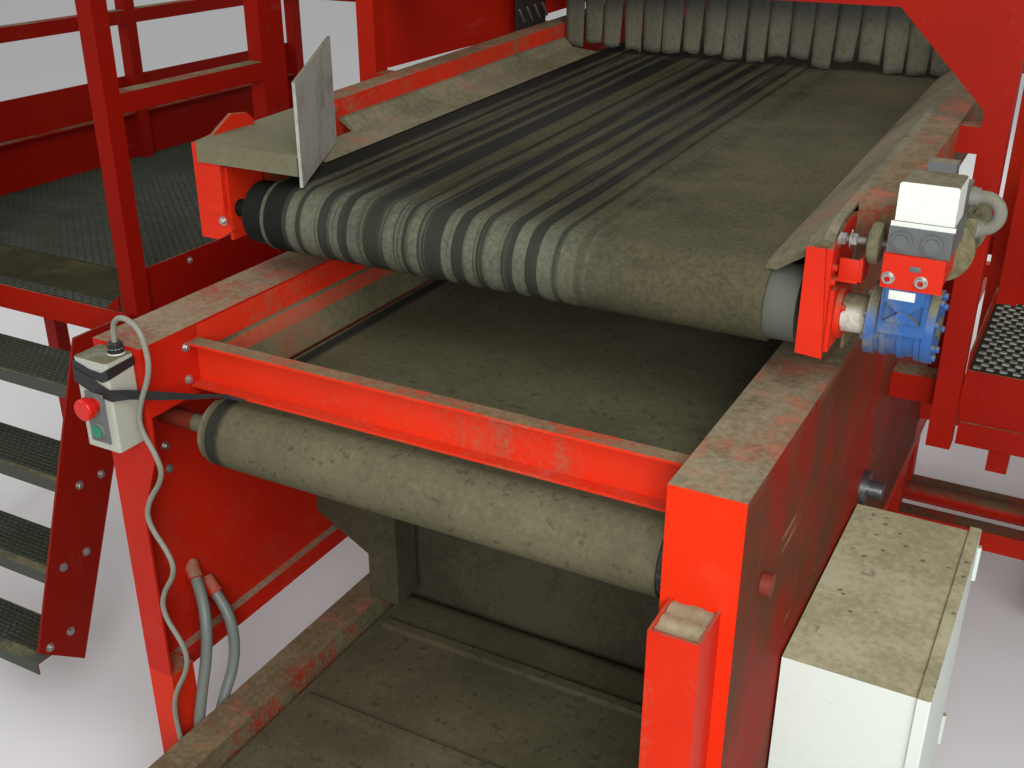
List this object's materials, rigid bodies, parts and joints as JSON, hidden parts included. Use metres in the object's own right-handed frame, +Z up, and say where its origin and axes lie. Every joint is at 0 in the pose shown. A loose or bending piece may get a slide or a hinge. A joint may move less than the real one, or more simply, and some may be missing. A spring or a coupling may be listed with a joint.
{
  "type": "clod and stone separator",
  "caption": "Towed root crop clod and stone separator with belts one above the other, a hopper with a rubber strip curtain, side decks with steps, a drive motor and a control cabinet.",
  "frame": {"origin": "on the floor, below the middle of the machine's bounding box", "axes": "+X to the right seen from the discharge end, +Y towards the drawbar, +Z up"},
  "size_m": [4.4, 5.8149, 2.06],
  "materials": {
    "red_paint": "satin",
    "belt_rubber": "matt",
    "curtain_rubber": "matt",
    "drum_steel": "satin",
    "dusty_sheet": "matt",
    "blue_paint": "gloss",
    "grey_metal": "satin",
    "white_paint": "satin",
    "white_plastic": "matt",
    "grey_plastic": "matt",
    "red_plastic": "gloss",
    "green_plastic": "gloss",
    "grip_plate": "satin",
    "cord_grey": "satin",
    "tyre_rubber": "matt"
  },
  "bodies": {
    "machine": {"axle_frame": "red_paint", "bearing_brackets": "red_paint", "cabinet": "white_paint", "chassis_rails": "red_paint", "conduit_loop": "grey_plastic", "control_cable": "cord_grey", "deck_frames": "red_paint", "deflector_plate": "white_plastic", "deflector_shelf": "dusty_sheet", "drawbar": "red_paint", "drive_motor": "blue_paint", "front_posts": "red_paint", "front_rail": "red_paint", "gear_adapter": "red_paint", "gearbox": "blue_paint", "hose_long": "cord_grey", "hose_short": "cord_grey", "housing_posts": "red_paint", "infeed_curtain": "curtain_rubber", "infeed_hopper": "red_paint", "jack_tube": "red_paint", "left_deck": "grip_plate", "left_guard": "red_paint", "lower_back_wall": "dusty_sheet", "lower_belt": "belt_rubber", "lower_drums": "drum_steel", "lower_side_left": "red_paint", "lower_side_right": "red_paint", "middle_belt": "belt_rubber", "middle_drums": "drum_steel", "middle_liners": "dusty_sheet", "middle_side_left": "red_paint", "middle_side_right": "red_paint", "motor_terminal_block": "grey_metal", "portal_frame": "red_paint", "rear_housing": "red_paint", "right_deck": "grip_plate", "right_guard": "red_paint", "shaft_cover": "white_plastic", "shaft_stub": "drum_steel", "short_post": "red_paint", "side_panel": "red_paint", "start_button": "green_plastic", "steps": "red_paint", "stop_box": "white_plastic", "stop_button": "red_plastic", "terminal_box": "white_plastic", "upper_belt": "belt_rubber", "upper_cross_members": "red_paint", "upper_head_drum": "drum_steel", "upper_side_left": "red_paint", "upper_side_right": "red_paint", "upper_skirts": "dusty_sheet", "upper_tail_drum": "drum_steel"},
    "wheel_left": {"tyre_left": "tyre_rubber", "rim_left": "white_paint"},
    "wheel_right": {"tyre_right": "tyre_rubber", "rim_right": "white_paint"},
    "cabinet_door": {"cabinet_door": "white_paint"},
    "jack_leg": {"jack_leg": "drum_steel"}
  },
  "joints": [
    {"name": "wheel_left_spin", "type": "hinge", "parent": "machine", "child": "wheel_left", "pos_m": [-1.09, 0.225, 0.26], "axis": [1, 0, 0], "range_deg": [-180, 180]},
    {"name": "wheel_right_spin", "type": "hinge", "parent": "machine", "child": "wheel_right", "pos_m": [1.09, 0.225, 0.26], "axis": [1, 0, 0], "range_deg": [-180, 180]},
    {"name": "cabinet_door_hinge", "type": "hinge", "parent": "machine", "child": "cabinet_door", "pos_m": [0.852, -0.764, 0.45], "axis": [0, 0, 1], "range_deg": [0, 105]},
    {"name": "jack_slide", "type": "slide", "parent": "machine", "child": "jack_leg", "axis": [0, 0, 1], "range_m": [0, 0.22]}
  ]
}
